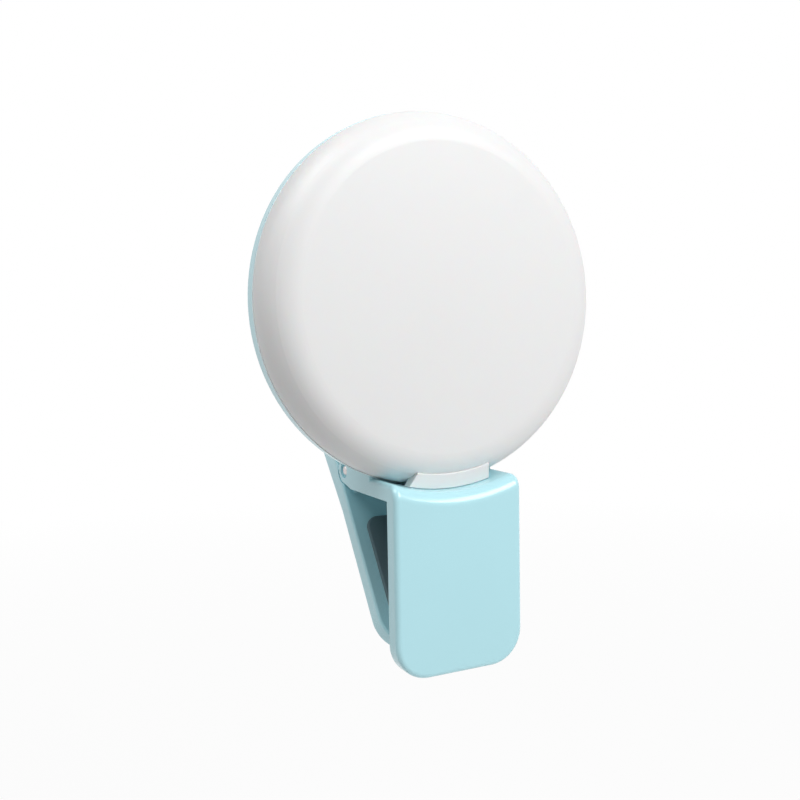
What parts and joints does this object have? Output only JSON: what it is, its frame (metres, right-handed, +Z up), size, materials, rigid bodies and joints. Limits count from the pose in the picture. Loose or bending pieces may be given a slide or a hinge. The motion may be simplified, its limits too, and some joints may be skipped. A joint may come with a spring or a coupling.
{
  "type": "clip on selfie ring light",
  "caption": "Round milky light disc on a pale blue one-piece housing with a sprung jaw that clips over a phone's top edge.",
  "frame": {"origin": "where the phone seats: on the mid-plane, under the clip's arm (z = 0) and at the face of the front pad (y = 0)", "axes": "+Z up towards the disc, -Y the way the light shines, +X to the right seen from the front"},
  "size_m": [0.0852, 0.0512, 0.1265],
  "materials": {
    "housing_blue": "glossy pale blue ABS moulding",
    "cover_white": "milky satin diffuser",
    "board_white": "white solder mask",
    "board_green": "green solder mask",
    "reflector_white": "glossy white",
    "socket_metal": "tinned steel shell",
    "switch_black": "black moulded switch",
    "battery_foil": "foil pouch",
    "foam_tape": "double-sided foam tape",
    "pipe_clear": "clear polished plastic",
    "button_white": "glossy white button",
    "pad_rubber": "soft dark rubber",
    "pin_steel": "nickel-plated pin",
    "spring_steel": "drawn spring wire",
    "led_phosphor": "yellow phosphor in a white case",
    "screw_steel": "zinc-plated screw"
  },
  "bodies": {
    "light": {"rear_housing": "housing_blue", "diffuser_dome": "cover_white", "led_board": "board_white", "control_board": "board_green", "reflector_ring": "reflector_white", "charging_socket": "socket_metal", "tact_switch": "switch_black", "battery": "battery_foil", "battery_tape": "foam_tape", "light_pipe": "pipe_clear", "front_pad": "pad_rubber", "hinge_pin": "pin_steel", "spring_coil": "spring_steel", "led_01": "led_phosphor", "led_02": "led_phosphor", "led_03": "led_phosphor", "led_04": "led_phosphor", "led_05": "led_phosphor", "led_06": "led_phosphor", "led_07": "led_phosphor", "led_08": "led_phosphor", "led_09": "led_phosphor", "led_10": "led_phosphor", "led_11": "led_phosphor", "led_12": "led_phosphor", "led_13": "led_phosphor", "led_14": "led_phosphor", "led_15": "led_phosphor", "led_16": "led_phosphor", "led_17": "led_phosphor", "led_18": "led_phosphor", "led_19": "led_phosphor", "led_20": "led_phosphor", "led_21": "led_phosphor", "led_22": "led_phosphor", "led_23": "led_phosphor", "led_24": "led_phosphor", "board_screw_1": "screw_steel", "board_screw_2": "screw_steel", "board_screw_3": "screw_steel", "control_screw_1": "screw_steel", "control_screw_2": "screw_steel"},
    "lever": {"rear_lever": "housing_blue", "rear_pad": "pad_rubber", "spring_leg": "spring_steel"},
    "button": {"power_button": "button_white"}
  },
  "joints": [
    {"name": "lever_hinge", "type": "hinge", "parent": "light", "child": "lever", "pos_m": [0, 0.022, 0.0041], "axis": [1, 0, 0], "range_deg": [0, 30], "stiffness_Nm_per_rad": 0.25, "springref_deg": -28.65},
    {"name": "button_press", "type": "slide", "parent": "light", "child": "button", "axis": [0, -1, 0], "range_m": [0, 0.00035], "stiffness_N_per_m": 3000, "springref_m": -0.0002}
  ]
}
